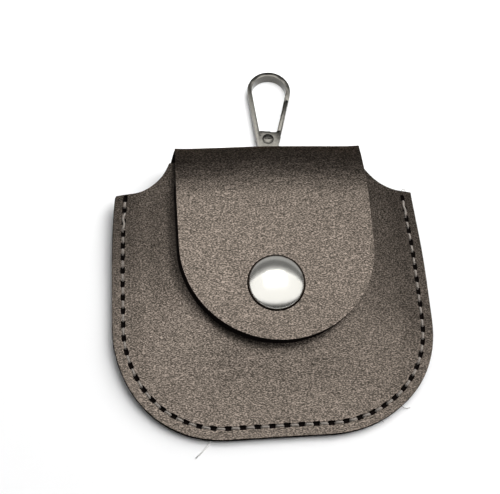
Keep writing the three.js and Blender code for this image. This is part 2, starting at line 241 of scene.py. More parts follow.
def step_down(x, y):
    """How far the front panel, fuller under the flap, steps down along the flap's left edge."""
    round_end = math.sqrt(max(0.0, FLAP_HALF ** 2 - max(0.0, FLAP_END - y) ** 2))
    past = flap_axis(y) - round_end + STEP_UNDER - x
    fade = smoothstep(y, *STEP_LOW) * (1 - smoothstep(y, *STEP_HIGH)) * smoothstep(inset(x, y), *STEP_INSET)
    return STEP_DEPTH * smoothstep(past, 0.0, STEP_WIDTH) * fade


def painted_flap_shadow(x, y):
    """How dark the flap's painted shadow makes the film beside its left and lower edge, from none to full."""
    across = x - flap_axis(y)
    reach = math.hypot(across, min(0.0, y - FLAP_END))
    left = smoothstep(-across / max(reach, 1.0), 0.0, PAINTED_SHADOW_TURN)
    width = blend(PAINTED_SHADOW_LOW, PAINTED_SHADOW_LEFT, left ** 3 * (1 - smoothstep(y, *PAINTED_SHADOW_HIGH)))
    return PAINTED_SHADOW_DARK * left * max(0.0, 1 - max(0.0, reach - FLAP_HALF) / width)


def no_painted_flap_shadow(x, y):
    """The back panel's film, which has no painted shadow and is the same all over."""
    return 0.0


def front_height(x, y):
    """The front panel's outer side: two pared walls thick in the seam, bulging between the seams."""
    half = body_half(y) - SEAM_FLAT
    across = max(0.0, 1 - (abs(x) / half) ** BULGE_BOX) ** BULGE_ROUND
    bulge = BULGE_HEIGHT * across * bulge_along(y) - step_down(x, y)
    return seam_plane(x, y) + 2 * SKIVED * LEATHER + SEAM_GAP + bulge


def flap_height(x, y):
    """The flap's outer side, which falls towards its end and droops towards its sides."""
    run = max(0.0, (FOLD_Y - FOLD_REACH - y) / FLAP_RUN)
    across = (x - flap_axis(y)) / FLAP_HALF
    return FLAP_TOP - FLAP_DROP * run ** FLAP_POWER - FLAP_DROOP * across ** 2


def hand_cut(x, y):
    """Where a point of the body panels, which were cut and sewn by hand, really comes to lie."""
    fade = 1 - smoothstep(y, *MOUTH_FADE)
    sway = SWAY * math.sin(2 * math.pi * (SWAY_START - y) / SWAY_LENGTH) * (1 - smoothstep(y, *SWAY_FADE))
    tilt = BOTTOM_TILT * smoothstep(-y, *BOTTOM_TILT_DOWN)
    tilt -= SHOULDER_TILT * smoothstep(y, *SHOULDER_TILT_Y) * fade
    full = smoothstep(x, *FULL_X) * smoothstep(-y, *FULL_DOWN)
    wide = smoothstep(x, *WIDE_X) * smoothstep(y, *WIDE_Y) * fade
    deep = smoothstep(-x, *DEEP_LEFT) * (1 - smoothstep(-x, *DEEP_LEFT_END)) * smoothstep(y, *DEEP_Y) * fade
    return x + sway + FULL_OUT * full + WIDE * wide, y + x * tilt - FULL_LOW * full - DEEP * deep


# Finishes

# The colour sockets of a Mix node, whose names its number sockets have too
MIX_A = 6
MIX_B = 7
MIX_RESULT = 2


def linear(colour):
    """The linear colour of an sRGB hex value."""
    parts = [int(colour[at:at + 2], 16) / 255 for at in (1, 3, 5)]
    return tuple(p / 12.92 if p <= 0.04045 else ((p + 0.055) / 1.055) ** 2.4 for p in parts) + (1.0,)


def add(tree, kind, inputs, **settings):
    """Adds a node with its settings, and fills its inputs from values or from other nodes' outputs."""
    node = tree.nodes.new(kind)
    for name, value in settings.items():
        setattr(node, name, value)
    for name, value in inputs.items():
        if isinstance(value, bpy.types.NodeSocket):
            tree.links.new(value, node.inputs[name])
        else:
            node.inputs[name].default_value = value
    return node


def finish_named(name):
    """A new material without nodes, and its node tree."""
    material = bpy.data.materials.new(name)
    material.use_nodes = True
    material.node_tree.nodes.clear()
    return material, material.node_tree


def per_mm(size):
    """The texture scale that gives one feature for each size in millimetres."""
    return 1 / (size * MM)


# Metallic polyurethane film on split leather: a pewter foil under an embossed pebble grain about half a
# millimetre wide, which breaks the broad soft highlight into fine light and dark points.
def coated_leather():
    material, tree = finish_named("pewter_coated_leather")
    where = add(tree, "ShaderNodeTexCoord", {}).outputs["Object"]
    # The embossing roll stretched the pebbles a little across the hide.
    rolled = add(tree, "ShaderNodeMapping", {"Vector": where, "Scale": (1.0, 2.1, 2.1)}).outputs["Vector"]
    grain = add(tree, "ShaderNodeTexNoise", {
        "Vector": rolled, "Scale": per_mm(0.46), "Detail": 1.0, "Roughness": 0.5})
    patches = add(tree, "ShaderNodeTexNoise", {"Vector": where, "Scale": per_mm(9.0), "Detail": 3.0})
    light = add(tree, "ShaderNodeValToRGB", {"Fac": grain.outputs["Fac"]})
    light.color_ramp.elements[0].position = 0.30
    light.color_ramp.elements[0].color = linear("#25221e")
    light.color_ramp.elements[1].position = 0.70
    light.color_ramp.elements[1].color = linear("#726860")
    light.color_ramp.elements.new(0.5).color = linear("#46403a")
    worn = add(tree, "ShaderNodeMix", {
        "Factor": 0.22, MIX_A: light.outputs["Color"], MIX_B: patches.outputs["Fac"]},
        data_type="RGBA", blend_type="SOFT_LIGHT")
    # The flap's soft shadow is painted here: the film beside the flap's left and lower edge is mixed towards
    # a near-black colour, as far as the panel's attribute says.
    painted_shadow = add(tree, "ShaderNodeAttribute", {}, attribute_name="painted_flap_shadow")
    film = add(tree, "ShaderNodeMix", {
        "Factor": painted_shadow.outputs["Fac"], MIX_A: worn.outputs[MIX_RESULT], MIX_B: linear("#0d0b0a")},
        data_type="RGBA")
    gloss = add(tree, "ShaderNodeMapRange", {
        "Value": patches.outputs["Fac"], "To Min": 0.26, "To Max": 0.34})
    # Handling has left faint creases across the hide, a few millimetres apart.
    pulled = add(tree, "ShaderNodeMapping", {"Vector": where, "Scale": (0.35, 1.0, 1.0)}).outputs["Vector"]
    creases = add(tree, "ShaderNodeTexNoise", {"Vector": pulled, "Scale": per_mm(3.0), "Detail": 2.0})
    creased = add(tree, "ShaderNodeBump", {
        "Height": creases.outputs["Fac"], "Strength": 0.4, "Distance": 0.3 * MM})
    bump = add(tree, "ShaderNodeBump", {
        "Height": grain.outputs["Fac"], "Strength": 0.6, "Distance": 0.1 * MM,
        "Normal": creased.outputs["Normal"]})
    shader = add(tree, "ShaderNodeBsdfPrincipled", {
        "Base Color": film.outputs[MIX_RESULT], "Metallic": 1.0, "Roughness": gloss.outputs["Result"],
        "Specular Tint": linear("#8f857c"), "Normal": bump.outputs["Normal"]})
    add(tree, "ShaderNodeOutputMaterial", {"Surface": shader.outputs["BSDF"]})
    return material


# Knitted backing cloth of the coated leather, dyed black-brown: dull, with fine fibres.
def leather_backing():
    material, tree = finish_named("black_brown_backing_cloth")
    where = add(tree, "ShaderNodeTexCoord", {}).outputs["Object"]
    fibres = add(tree, "ShaderNodeTexNoise", {"Vector": where, "Scale": per_mm(0.4), "Detail": 4.0})
    tone = add(tree, "ShaderNodeValToRGB", {"Fac": fibres.outputs["Fac"]})
    tone.color_ramp.elements[0].color = linear("#0f0d0c")
    tone.color_ramp.elements[1].color = linear("#2a2522")
    bump = add(tree, "ShaderNodeBump", {
        "Height": fibres.outputs["Fac"], "Strength": 0.5, "Distance": 0.1 * MM})
    shader = add(tree, "ShaderNodeBsdfPrincipled", {
        "Base Color": tone.outputs["Color"], "Roughness": 0.92, "Specular IOR Level": 0.02,
        "Normal": bump.outputs["Normal"]})
    add(tree, "ShaderNodeOutputMaterial", {"Surface": shader.outputs["BSDF"]})
    return material


# Knife-cut edge of the coated leather: dull, nearly black split fibres, drawn coarser than real ones so that
# they show.
def cut_edge():
    material, tree = finish_named("knife_cut_leather_edge")
    where = add(tree, "ShaderNodeTexCoord", {}).outputs["Object"]
    fibres = add(tree, "ShaderNodeTexNoise", {"Vector": where, "Scale": per_mm(0.25), "Detail": 3.0})
    tone = add(tree, "ShaderNodeValToRGB", {"Fac": fibres.outputs["Fac"]})
    tone.color_ramp.elements[0].color = linear("#070505")
    tone.color_ramp.elements[1].color = linear("#161210")
    bump = add(tree, "ShaderNodeBump", {
        "Height": fibres.outputs["Fac"], "Strength": 0.6, "Distance": 0.08 * MM})
    shader = add(tree, "ShaderNodeBsdfPrincipled", {
        "Base Color": tone.outputs["Color"], "Roughness": 0.8, "Specular IOR Level": 0.01,
        "Normal": bump.outputs["Normal"]})
    add(tree, "ShaderNodeOutputMaterial", {"Surface": shader.outputs["BSDF"]})
    return material


# Spun polyester thread, twisted: matt, with fine slanting lines a third of a millimetre apart.
def sewing_thread(name, dark, pale):
    material, tree = finish_named(name)
    where = add(tree, "ShaderNodeUVMap", {}, uv_map="along").outputs["UV"]
    plies = add(tree, "ShaderNodeTexWave", {
        "Vector": where, "Scale": 1.0, "Distortion": 0.6, "Detail": 1.0}, bands_direction="DIAGONAL")
    tone = add(tree, "ShaderNodeValToRGB", {"Fac": plies.outputs["Fac"]})
    tone.color_ramp.elements[0].color = linear(dark)
    tone.color_ramp.elements[1].color = linear(pale)
    bump = add(tree, "ShaderNodeBump", {
        "Height": plies.outputs["Fac"], "Strength": 0.6, "Distance": 0.08 * MM})
    shader = add(tree, "ShaderNodeBsdfPrincipled", {
        "Base Color": tone.outputs["Color"], "Roughness": 0.7, "Specular IOR Level": 0.15,
        "Sheen Weight": 0.1, "Normal": bump.outputs["Normal"]})
    add(tree, "ShaderNodeOutputMaterial", {"Surface": shader.outputs["BSDF"]})
    return material


# Nickel-plated stamped brass, polished on a wheel: a soft mirror, hazed a little unevenly by handling.
def polished_nickel():
    material, tree = finish_named("polished_nickel_plate")
    where = add(tree, "ShaderNodeTexCoord", {}).outputs["Object"]
    marks = add(tree, "ShaderNodeTexNoise", {"Vector": where, "Scale": per_mm(0.9), "Detail": 4.0})
    gloss = add(tree, "ShaderNodeMapRange", {
        "Value": marks.outputs["Fac"], "To Min": 0.17, "To Max": 0.25})
    bump = add(tree, "ShaderNodeBump", {
        "Height": marks.outputs["Fac"], "Strength": 0.05, "Distance": 0.05 * MM})
    shader = add(tree, "ShaderNodeBsdfPrincipled", {
        "Base Color": linear("#e8e6df"), "Metallic": 1.0, "Roughness": gloss.outputs["Result"],
        "Normal": bump.outputs["Normal"]})
    add(tree, "ShaderNodeOutputMaterial", {"Surface": shader.outputs["BSDF"]})
    return material


# Black-nickel plating, tumbled: greyer than nickel, with faint tumbling dents and paler spots. It shines more
# on the smooth zinc casting than on the steel rivet.
def gunmetal_plate(name, smooth, hazy):
    material, tree = finish_named(name)
    where = add(tree, "ShaderNodeTexCoord", {}).outputs["Object"]
    dents = add(tree, "ShaderNodeTexNoise", {"Vector": where, "Scale": per_mm(0.8), "Detail": 3.0})
    tone = add(tree, "ShaderNodeValToRGB", {"Fac": dents.outputs["Fac"]})
    tone.color_ramp.elements[0].color = linear("#4a4845")
    tone.color_ramp.elements[1].color = linear("#696761")
    gloss = add(tree, "ShaderNodeMapRange", {
        "Value": dents.outputs["Fac"], "To Min": smooth, "To Max": hazy})
    bump = add(tree, "ShaderNodeBump", {
        "Height": dents.outputs["Fac"], "Strength": 0.15, "Distance": 0.1 * MM})
    shader = add(tree, "ShaderNodeBsdfPrincipled", {
        "Base Color": tone.outputs["Color"], "Metallic": 1.0, "Roughness": gloss.outputs["Result"],
        "Normal": bump.outputs["Normal"]})
    add(tree, "ShaderNodeOutputMaterial", {"Surface": shader.outputs["BSDF"]})
    return material


# Black vegetable-tanned strap leather, plainly finished: low satin with an open pore grain.
def strap_leather():
    material, tree = finish_named("black_strap_leather")
    where = add(tree, "ShaderNodeTexCoord", {}).outputs["Object"]
    pores = add(tree, "ShaderNodeTexVoronoi", {"Vector": where, "Scale": per_mm(0.6)})
    tone = add(tree, "ShaderNodeValToRGB", {"Fac": pores.outputs["Distance"]})
    tone.color_ramp.elements[0].color = linear("#131110")
    tone.color_ramp.elements[1].color = linear("#322d2a")
    bump = add(tree, "ShaderNodeBump", {
        "Height": pores.outputs["Distance"], "Strength": 0.4, "Distance": 0.1 * MM})
    shader = add(tree, "ShaderNodeBsdfPrincipled", {
        "Base Color": tone.outputs["Color"], "Roughness": 0.6, "Specular IOR Level": 0.08,
        "Normal": bump.outputs["Normal"]})
    add(tree, "ShaderNodeOutputMaterial", {"Surface": shader.outputs["BSDF"]})
    return material


# Seamless white paper of a photo table: matt, with a cloudiness that hardly shows.
def table_paper():
    material, tree = finish_named("white_table_paper")
    where = add(tree, "ShaderNodeTexCoord", {}).outputs["Object"]
    clouds = add(tree, "ShaderNodeTexNoise", {"Vector": where, "Scale": per_mm(60.0)})
    tone = add(tree, "ShaderNodeValToRGB", {"Fac": clouds.outputs["Fac"]})
    tone.color_ramp.elements[0].color = linear("#f8f8f8")
    tone.color_ramp.elements[1].color = linear("#fcfcfc")
    shader = add(tree, "ShaderNodeBsdfPrincipled", {
        "Base Color": tone.outputs["Color"], "Roughness": 0.9, "Specular IOR Level": 0.1})
    add(tree, "ShaderNodeOutputMaterial", {"Surface": shader.outputs["BSDF"]})
    return material


# A leather panel has its film outside, backing cloth inside and the knife's cut all round.
LEATHER_FINISHES = [coated_leather(), leather_backing(), cut_edge()]
INSIDE = 1
CUT = 2
THREAD = sewing_thread("taupe_polyester_thread", "#6a635d", "#a8a098")
FRAYED = sewing_thread("frayed_thread_end", "#eceae6", "#ffffff")
NICKEL = polished_nickel()
GUNMETAL = gunmetal_plate("gunmetal_plated_zinc", 0.11, 0.20)
RIVETED = gunmetal_plate("gunmetal_plated_steel", 0.20, 0.36)
STRAP = strap_leather()
PAPER = table_paper()

# The angles in degrees past which an edge of each kind of piece stays crisp
LEATHER_CRISP = 40
TURNED_CRISP = 35
CAST_CRISP = 32


# Pieces


def piece(name, bm, materials):
    """A new object at the origin from a bmesh that is already in place."""
    mesh = bpy.data.meshes.new(name)
    bm.to_mesh(mesh)
    bm.free()
    for face in mesh.polygons:
        face.use_smooth = True
    for material in materials:
        mesh.materials.append(material)
    made = bpy.data.objects.new(name, mesh)
    bpy.context.scene.collection.objects.link(made)
    return made


def settle(made):
    """Applies an object's modifiers, so that its mesh is the finished shape."""
    state = made.evaluated_get(bpy.context.evaluated_depsgraph_get())
    mesh = bpy.data.meshes.new_from_object(state)
    made.modifiers.clear()
    old = made.data
    made.data = mesh
    bpy.data.meshes.remove(old)


def sharpen(made, degrees):
    """Shades smooth across gentle edges and keeps the crisp ones."""
    made.data.set_sharp_from_angle(angle=math.radians(degrees))


def cut_with(made, tool):
    """Cuts a tool's shape out of a piece and puts the tool away."""
    cut = made.modifiers.new("cut", "BOOLEAN")
    cut.operation = "DIFFERENCE"
    cut.solver = "EXACT"
    cut.object = tool
    settle(made)
    bpy.data.objects.remove(tool)


def thicken(made, thickness, inside, pared):
    """Gives a sheet of leather its wall, inner side and cut edge, pared down along the seam or not."""
    wall = made.modifiers.new("wall", "SOLIDIFY")
    wall.thickness = thickness * MM
    wall.offset = -1.0
    wall.use_even_offset = True
    wall.material_offset = inside
    wall.material_offset_rim = CUT
    if pared:
        made.vertex_groups.new(name="wall")
        wall.vertex_group = "wall"
    settle(made)


# How finely the panels are divided
NECK_STEPS = 20
SCOOP_STEPS = 14
CORNER_STEPS = 24
SIDE_STEPS = 14
TOP_STEPS = 10
UNDER_STEPS = 8
OVER_STEPS = 24
FLAP_STEPS = 26
# Where the side's even rows end, and the share of the rows over the fold that its tight bend takes
SIDE_TOP = SHOULDER - SCOOP_RADIUS / 2
BEND_SHARE = 0.4


def neck_share(step):
    """Where a column of the neck and flap stands across it, closer together towards the edges."""
    return math.sin(step / NECK_STEPS * math.pi / 2)


def body_columns():
    """Each column of a body panel from the left: its share of the half width and its top edge."""
    start = math.asin((SCOOP_TOP - MOUTH_Y) / SCOOP_RADIUS)
    half = [(NECK_HALF * neck_share(step), MOUTH_Y) for step in range(1, NECK_STEPS + 1)]
    for step in range(1, SCOOP_STEPS + 1):
        angle = blend(start, math.pi / 2, step / SCOOP_STEPS)
        half.append((SCOOP_X - SCOOP_RADIUS * math.cos(angle), SCOOP_TOP - SCOOP_RADIUS * math.sin(angle)))
    half.append(((SCOOP_X + SHOULDER_HALF) / 2, SHOULDER))
    half.append((SHOULDER_HALF, SHOULDER))
    left = [(-x, top) for x, top in reversed(half)]
    return [(x / SHOULDER_HALF, top) for x, top in left + [(0.0, MOUTH_Y)] + half]


def body_level(row, top):
    """The height of a row of a body panel, in a column that ends at the given top."""
    if row < CORNER_STEPS:
        return CORNER_Y - CORNER_RADIUS * math.cos(row / CORNER_STEPS * math.pi / 2)
    row -= CORNER_STEPS
    if row <= SIDE_STEPS:
        return blend(CORNER_Y, SIDE_TOP, row / SIDE_STEPS)
    return blend(SIDE_TOP, top, (row - SIDE_STEPS) / TOP_STEPS)


def grid(bm, columns, rows):
    """A flat grid in the bmesh, given as each vertex with its column and row."""
    made = bmesh.ops.create_grid(bm, x_segments=columns, y_segments=rows, size=1.0)["verts"]
    return [(v, round((v.co.x + 1) / 2 * columns), round((v.co.y + 1) / 2 * rows)) for v in made]


def body_panel(bm, height, dark):
    """A body panel at the given heights, with the flap's painted shadow on its film as dark as given by
    another function.
    """
    wall = bm.verts.layers.deform.verify()
    painted_shadow = bm.verts.layers.float.new("painted_flap_shadow")
    columns = body_columns()
    rows = CORNER_STEPS + SIDE_STEPS + TOP_STEPS
    for vert, column, row in grid(bm, len(columns) - 1, rows):
        share, top = columns[column]
        y = body_level(row, top)
        x = share * body_half(y)
        vert.co = place(*hand_cut(x, y), height(x, y))
        vert[wall][0] = wall_share(x, y)
        vert[painted_shadow] = dark(x, y)


def fold_under(across, share):
    """A point of the fold's outer side from its tip down to the neck: a quarter of an ellipse."""
    fold_y = FOLD_Y + FOLD_EARS * across ** 4
    y = fold_y - (fold_y - MOUTH_Y) * (1 - math.cos(share * math.pi / 2))
    x = FOLD_SHIFT * (1 - share) + across * blend(FOLD_HALF, NECK_HALF, share)
    low = back_height(across * NECK_HALF, LIFT_END)
    return place(x, y, low + FOLD_LOWER * (1 - math.sin(share * math.pi / 2)))


def fold_over(across, share):
    """A point over the fold, from its tip up to the flap: a tight bend, then a long easy curve."""
    if share < BEND_SHARE:
        tilt = blend(math.pi / 2, FOLD_SLOPE, share / BEND_SHARE)
    else:
        tilt = FOLD_SLOPE * (1 - share) / (1 - BEND_SHARE)
    gentle = min(tilt, FOLD_SLOPE)
    back = FOLD_SWEEP * math.sin(gentle) + FOLD_BEND * (math.sin(tilt) - math.sin(gentle))
    fall = FOLD_SWEEP * (1 - math.cos(gentle)) + FOLD_BEND * (math.cos(gentle) - math.cos(tilt))
    y = FOLD_Y - FOLD_REACH + back + FOLD_EARS * across ** 4 * back / FOLD_REACH
    x = flap_axis(y) + across * blend(FLAP_HALF, FOLD_HALF, back / FOLD_REACH)
    top = flap_height(x, FOLD_Y - FOLD_REACH)
    tip = back_height(across * NECK_HALF, LIFT_END) + FOLD_LOWER
    return place(x, y, blend(top, tip, fall / FOLD_FALL))


def flap_point(across, share):
    """A point of the flap's outer side, from the end of the fold down to the round edge."""
    end = FLAP_END - FLAP_HALF * math.sqrt(max(0.0, 1 - across ** 2))
    y = blend(FOLD_Y - FOLD_REACH, end, share)
    x = flap_axis(y) + across * FLAP_HALF
    return place(x, y, flap_height(x, y))


def flap_panel(bm):
    """The fold and the flap, which run on from the neck of the back panel at their full thickness."""
    wall = bm.verts.layers.deform.verify()
    rows = UNDER_STEPS + OVER_STEPS + FLAP_STEPS
    for vert, column, row in grid(bm, 2 * NECK_STEPS, rows):
        across = neck_share(column - NECK_STEPS)
        over = row - UNDER_STEPS
        vert[wall][0] = 1.0
        if over < 0:
            vert.co = fold_under(across, -over / UNDER_STEPS)
        elif over <= OVER_STEPS:
            vert.co = fold_over(across, over / OVER_STEPS)
        else:
            vert.co = flap_point(across, (over - OVER_STEPS) / FLAP_STEPS)


def flap_slant(at):
    """How far the flap's cut edge leans out at a point, along its left and lower side."""
    if abs(at.z - flap_height(at.x, at.y) + LEATHER) > FLAP_SLANT_NEAR:
        return Vector((0.0, 0.0))
    out = Vector((at.x - flap_axis(at.y), min(0.0, at.y - FLAP_END))).normalized()
    lower_left = smoothstep(-DIAGONAL * (out.x + out.y), 0.0, 1.0)
    return out * FLAP_SLANT * lower_left * (1 - smoothstep(at.y, *FLAP_SLANT_HIGH))


def body_slant(at):
    """How far the front panel's cut edge leans out at a point, along its left side."""
    left = smoothstep(-at.x, *BODY_SLANT_LEFT)
    return Vector((-BODY_SLANT, 0.0)) * left * (1 - smoothstep(at.y, *BODY_SLANT_HIGH))


def slant_cut(made, slant):
    """Leans a panel's cut edge out where the knife was held at a slant."""
    inner = {v for face in made.data.polygons if face.material_index == INSIDE for v in face.vertices}
    rim = {v for face in made.data.polygons if face.material_index == CUT for v in face.vertices}
    for index in inner & rim:
        vert = made.data.vertices[index]
        at = vert.co / MM - Vector((0.0, SHOULDER_Y, 0.0))
        vert.co += (slant(at) * MM).to_3d()


bm = bmesh.new()
body_panel(bm, back_height, no_painted_flap_shadow)
flap_panel(bm)
bmesh.ops.remove_doubles(bm, verts=bm.verts, dist=WELD * MM)
bmesh.ops.reverse_faces(bm, faces=bm.faces)
back_and_flap = piece("back_and_flap_leather", bm, LEATHER_FINISHES)
thicken(back_and_flap, LEATHER, INSIDE, True)
slant_cut(back_and_flap, flap_slant)

bm = bmesh.new()
body_panel(bm, front_height, painted_flap_shadow)
front_panel = piece("front_panel_leather", bm, LEATHER_FINISHES)
thicken(front_panel, LEATHER, INSIDE, True)
slant_cut(front_panel, body_slant)


# Seam: punched holes in a pressed groove, and a thread that runs from hole to hole

SEAM_INSET = 2.75
SEAM_STEPS = 80
SLOPE_STEP = 0.2
HOLE_COUNT = 52
HOLE_LENGTH = 1.95
HOLE_WIDTH = 1.2
HOLE_DEPTH = 0.6
HOLE_CORNER = 0.35
HOLE_CORNER_STEPS = 3
GROOVE_WIDTH = 0.85
GROOVE_DEPTH = 0.25
GROOVE_STEPS = 150
TOOL_HEIGHT = 2.0
# The hand-marked spacing opens along the bottom: a few holes with how far along the seam they are.
HOLE_MARKS = [(0, 1.3), (5, 17.6), (13, 47.4), (20, 71.7), (30, 108.9), (40, 143.3), (49, 174.7),
              (51, 180.7)]


def seam_line():
    """Points of the seam in the plane, from the left shoulder round the bottom to the right one."""
    radius = CORNER_RADIUS - SEAM_INSET
    left = []
    for step in range(SEAM_STEPS):
        y = blend(SHOULDER, CORNER_Y, step / SEAM_STEPS)
        left.append((SEAM_INSET - body_half(y), y))
    for step in range(SEAM_STEPS + 1):
        angle = step / SEAM_STEPS * math.pi / 2
        x = CORNER_RADIUS - BODY_HALF - radius * math.cos(angle)
        left.append((x, CORNER_Y - radius * math.sin(angle)))
    return left + [(-x, y) for x, y in reversed(left)]


SEAM = seam_line()
SEAM_RUN = [0.0]
for before, after in zip(SEAM, SEAM[1:]):
    SEAM_RUN.append(SEAM_RUN[-1] + math.dist(before, after))


def on_seam(run):
    """The seam's point, and its direction, that far along it."""
    at = next((n for n in range(1, len(SEAM)) if SEAM_RUN[n] >= run), len(SEAM) - 1)
    share = (run - SEAM_RUN[at - 1]) / (SEAM_RUN[at] - SEAM_RUN[at - 1])
    before, after = Vector(SEAM[at - 1]), Vector(SEAM[at])
    return before.lerp(after, share), (after - before).normalized()


def hole_run(number):
    """How far along the seam a hole is, evenly spaced between the marked ones."""
    at = next(n for n in range(1, len(HOLE_MARKS)) if HOLE_MARKS[n][0] >= number)
    low, high = HOLE_MARKS[at - 1], HOLE_MARKS[at]
    return blend(low[1], high[1], (number - low[0]) / (high[0] - low[0]))


def seam_frame(run, height, rise):
    """The placing on a panel at a point of the seam: X along it, Y across, Z up, lifted by rise."""
    (x, y), (along_x, along_y) = on_seam(run)
    climb = (height(x + along_x * SLOPE_STEP, y + along_y * SLOPE_STEP) - height(x, y)) / SLOPE_STEP
    forward = Vector((along_x, along_y, climb)).normalized()
    across = Vector((-along_y, along_x, 0.0))
    up = forward.cross(across)
    turn = Matrix((forward, across, up)).transposed().to_4x4()
    return Matrix.Translation(place(*hand_cut(x, y), height(x, y) + rise)) @ turn


def box(bm, at, length, width, height):
    """A box centred on a placing."""
    sizes = Matrix.Diagonal((length * MM, width * MM, height * MM, 1.0))
    return bmesh.ops.create_cube(bm, size=1.0, matrix=at @ sizes)["verts"]


def hole_punch(height, side):
    """Punches for all the holes of one panel, cutting into its outer side; side is 1 above and -1 below."""
    bm = bmesh.new()
    for number in range(HOLE_COUNT):
        at = seam_frame(hole_run(number), height, side * (TOOL_HEIGHT / 2 - HOLE_DEPTH))
        verts = box(bm, at, HOLE_LENGTH, HOLE_WIDTH, TOOL_HEIGHT)
        upright = {e for v in verts for e in v.link_edges
                   if abs((e.verts[0].co - e.verts[1].co).length - TOOL_HEIGHT * MM) < SAME * MM}
        bmesh.ops.bevel(bm, geom=list(upright), offset=HOLE_CORNER * MM, segments=HOLE_CORNER_STEPS,
                        profile=0.5, affect="EDGES", material=-1)
    for face in bm.faces:
        face.material_index = CUT
    return piece("hole_punch", bm, LEATHER_FINISHES)


def groove_press(height, side):
    """A long square bar that presses the groove of one panel."""
    bm = bmesh.new()
    first = hole_run(0)
    last = hole_run(HOLE_COUNT - 1)
    square = (Matrix.Rotation(math.pi / 2, 4, "Y")
              @ Matrix.Diagonal((TOOL_HEIGHT * MM, GROOVE_WIDTH * MM, 1.0, 1.0))
              @ Matrix.Rotation(math.pi / 4, 4, "Z"))
    rings = []
    for step in range(GROOVE_STEPS + 1):
        run = blend(first, last, step / GROOVE_STEPS)
        at = seam_frame(run, height, side * (TOOL_HEIGHT / 2 - GROOVE_DEPTH))
        ring = bmesh.ops.create_circle(bm, segments=4, radius=math.sqrt(0.5), matrix=at @ square)["verts"]
        rings.append(list({e for v in ring for e in v.link_edges}))
    for before, after in zip(rings, rings[1:]):
        bmesh.ops.bridge_loops(bm, edges=before + after)
    bmesh.ops.contextual_create(bm, geom=rings[0])
    bmesh.ops.contextual_create(bm, geom=rings[-1])
    bmesh.ops.recalc_face_normals(bm, faces=bm.faces)
    return piece("groove_press", bm, LEATHER_FINISHES)


for panel, height, side in ((front_panel, front_height, 1), (back_and_flap, back_height, -1)):
    cut_with(panel, hole_punch(height, side))
    cut_with(panel, groove_press(height, side))
    sharpen(panel, LEATHER_CRISP)

THREAD_WIDTH = 0.6
THREAD_THICK = 0.42
THREAD_SINK = 0.16
THREAD_SIDES = 8
# The thread's UV map: the millimetres along it that count as one, and its count once round the thread
THREAD_UNIT = 0.5
THREAD_TURN = 4
# Half a stitch as shares of the way between two holes, with its height over the leather, then the whole one
STITCH_START = [(0.20, -0.60), (0.235, -0.42), (0.275, -0.16), (0.34, -0.03)]
STITCH = STITCH_START + [(0.5, 0.0)] + [(1 - share, rise) for share, rise in reversed(STITCH_START)]
# Slack stitches, which pass over a hole: the holes that they run between, and how far they sway. They climb
# out of their holes over a stretch given as shares of the way.
SLACK = [(1, 3, 0.2), (49, 51, 0.12)]
SLACK_STEPS = 20
SLACK_WAVES = 2
SLACK_DIP = -0.6
SLACK_RISE = 0.1
SLACK_CLIMB = (0.08, 0.2)


def tube(bm, frames, width, thick):
    """A closed tube through placings whose X runs along it, with the thread's UV map."""
    along = bm.loops.layers.uv.get("along") or bm.loops.layers.uv.new("along")
    rings = []
    for at in frames:
        sizes = Matrix.Diagonal((thick * MM, width * MM, 1.0, 1.0))
        matrix = at @ Matrix.Rotation(math.pi / 2, 4, "Y") @ sizes
        rings.append(bmesh.ops.create_circle(bm, segments=THREAD_SIDES, radius=0.5, matrix=matrix)["verts"])
    run = 0.0
    for before, after in zip(rings, rings[1:]):
        edges = {e for v in before + after for e in v.link_edges if e.is_wire or e.is_boundary}
        faces = bmesh.ops.bridge_loops(bm, edges=list(edges))["faces"]
        step = (before[0].co - after[0].co).length / (THREAD_UNIT * MM)
        order = {v: (n, 0.0) for n, v in enumerate(before)}
        order.update({v: (n, step) for n, v in enumerate(after)})
        for face in faces:
            turns = [order[loop.vert][0] for loop in face.loops]
            for loop, turn in zip(face.loops, turns):
                wrapped = THREAD_SIDES if turn == 0 and THREAD_SIDES - 1 in turns else turn
                loop[along].uv = (run + order[loop.vert][1], wrapped / THREAD_SIDES * THREAD_TURN)
        run += step
    for ring in (rings[0], rings[-1]):
        bmesh.ops.contextual_create(bm, geom=ring)


def slack_stitch(first, last, sway, height):
    """The placings of a slack stitch, which winds from hole to hole a little above the leather."""
    frames = []
    for step in range(SLACK_STEPS + 1):
        share = blend(SLACK_CLIMB[0], 1 - SLACK_CLIMB[0], step / SLACK_STEPS)
        rise = blend(SLACK_DIP, SLACK_RISE, smoothstep(min(share, 1 - share), *SLACK_CLIMB))
        at = seam_frame(blend(hole_run(first), hole_run(last), share), height, rise)
        aside = sway * math.sin(2 * math.pi * SLACK_WAVES * share)
        frames.append(at @ Matrix.Translation((0.0, aside * MM, 0.0)))
    return frames


def stitching(name, height, side, slack):
    """The thread on one side of the seam: a stitch from each hole to the next, or a slack one."""
    bm = bmesh.new()
    for number in range(HOLE_COUNT - 1):
        if any(first <= number < last for first, last, _ in slack):
            continue
        start, end = hole_run(number), hole_run(number + 1)
        frames = [seam_frame(blend(start, end, share), height, side * (rise - THREAD_SINK))
                  for share, rise in STITCH]
        tube(bm, frames, THREAD_WIDTH, THREAD_THICK)
    for first, last, sway in slack:
        tube(bm, slack_stitch(first, last, sway, height), THREAD_WIDTH, THREAD_THICK)
    bmesh.ops.recalc_face_normals(bm, faces=bm.faces)
    return piece(name, bm, [THREAD])


front_stitches = stitching("front_seam_stitches", front_height, 1, SLACK)
back_stitches = stitching("back_seam_stitches", back_height, -1, [])

